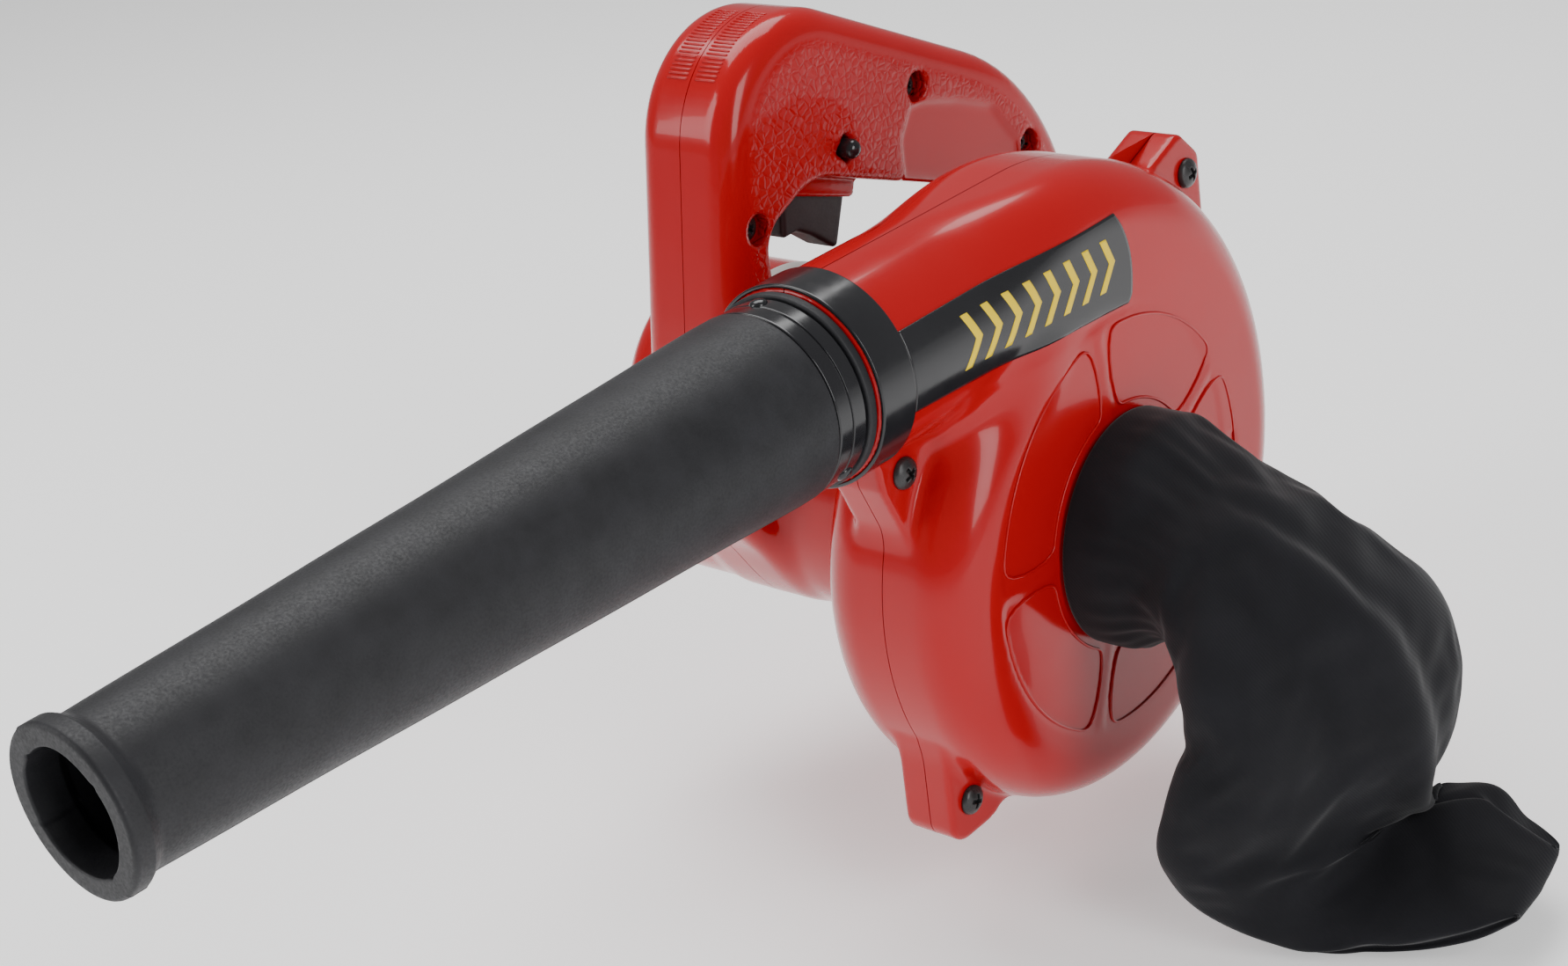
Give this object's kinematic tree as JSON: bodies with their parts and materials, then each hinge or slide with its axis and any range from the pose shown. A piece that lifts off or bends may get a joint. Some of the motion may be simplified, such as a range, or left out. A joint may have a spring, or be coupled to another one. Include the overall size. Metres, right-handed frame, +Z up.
{
  "type": "car dryer blower",
  "caption": "Hand-held electric air blower with scroll fan casing, D handle over the motor, tapered rubber nozzle and cloth dust bag.",
  "frame": {"origin": "middle of the hand grip, on the seam of the two handle halves", "axes": "-Y points out of the nozzle, +X along the fan axis towards the bag, +Z up"},
  "size_m": [0.2814, 0.4455, 0.251],
  "materials": {
    "red_shell": "glossy moulded ABS, grained on the grip",
    "gloss_black": "glossy black plastic",
    "black_rubber": "matt black rubber",
    "bag_cloth": "black twill cloth",
    "white_nylon": "natural nylon",
    "steel": "plain steel",
    "lamination": "varnished steel laminations",
    "copper": "enamelled copper",
    "brass": "pressed brass",
    "carbon": "pressed carbon",
    "matt_black": "matt black plastic",
    "black_screw": "black oxide",
    "film_yellow": "film capacitor case",
    "label_black": "printed black sticker",
    "label_grey": "printed silver grey sticker"
  },
  "bodies": {
    "casing": {"volute_cover": "red_shell", "volute_back": "red_shell", "right_housing": "red_shell", "left_housing": "red_shell", "outlet_collar": "gloss_black", "front_bearing": "steel", "rear_bearing": "steel", "bearing_sleeve": "black_rubber", "stator_core": "lamination", "field_coils": "copper", "brush_holders": "brass", "carbon_brushes": "carbon", "brush_springs": "steel", "trigger_spring": "steel", "switch_body": "matt_black", "lock_spring": "steel", "cord_gland": "black_rubber", "capacitor": "film_yellow", "volute_screws": "black_screw", "handle_screws": "black_screw", "motor_screws": "steel", "side_label": "label_black", "rating_label": "label_grey"},
    "rotor": {"impeller": "white_nylon", "fan_washer": "steel", "fan_nut": "steel", "armature_shaft": "steel", "armature_core": "lamination", "armature_windings": "copper", "commutator": "copper"},
    "front_nozzle": {"nozzle": "black_rubber"},
    "locking_ring": {"nozzle_ring": "gloss_black"},
    "bag": {"bag_connector": "gloss_black", "dust_bag": "bag_cloth"},
    "trigger_lever": {"trigger": "matt_black"},
    "lock_knob": {"lock_button": "gloss_black"}
  },
  "joints": [
    {"name": "rotor_spin", "type": "hinge", "parent": "casing", "child": "rotor", "pos_m": [0.084, -0.038, -0.106], "axis": [1, 0, 0], "continuous": true},
    {"name": "nozzle_pull", "type": "slide", "parent": "casing", "child": "front_nozzle", "axis": [0, -1, 0], "range_m": [0, 0.024]},
    {"name": "ring_twist", "type": "hinge", "parent": "front_nozzle", "child": "locking_ring", "pos_m": [0.084, -0.148, -0.0281], "axis": [0, -1, 0], "range_deg": [0, 30]},
    {"name": "bag_pull", "type": "slide", "parent": "casing", "child": "bag", "axis": [1, 0, 0], "range_m": [0, 0.012]},
    {"name": "trigger_slide", "type": "slide", "parent": "casing", "child": "trigger_lever", "axis": [0, 0.3173, 0.9483], "range_m": [0, 0.006], "stiffness_N_per_m": 500, "springref_m": -0.006, "deforming": ["trigger_spring"]},
    {"name": "lock_slide", "type": "slide", "parent": "casing", "child": "lock_knob", "axis": [-1, 0, 0], "range_m": [0, 0.003], "stiffness_N_per_m": 400, "springref_m": -0.004, "deforming": ["lock_spring"]}
  ]
}
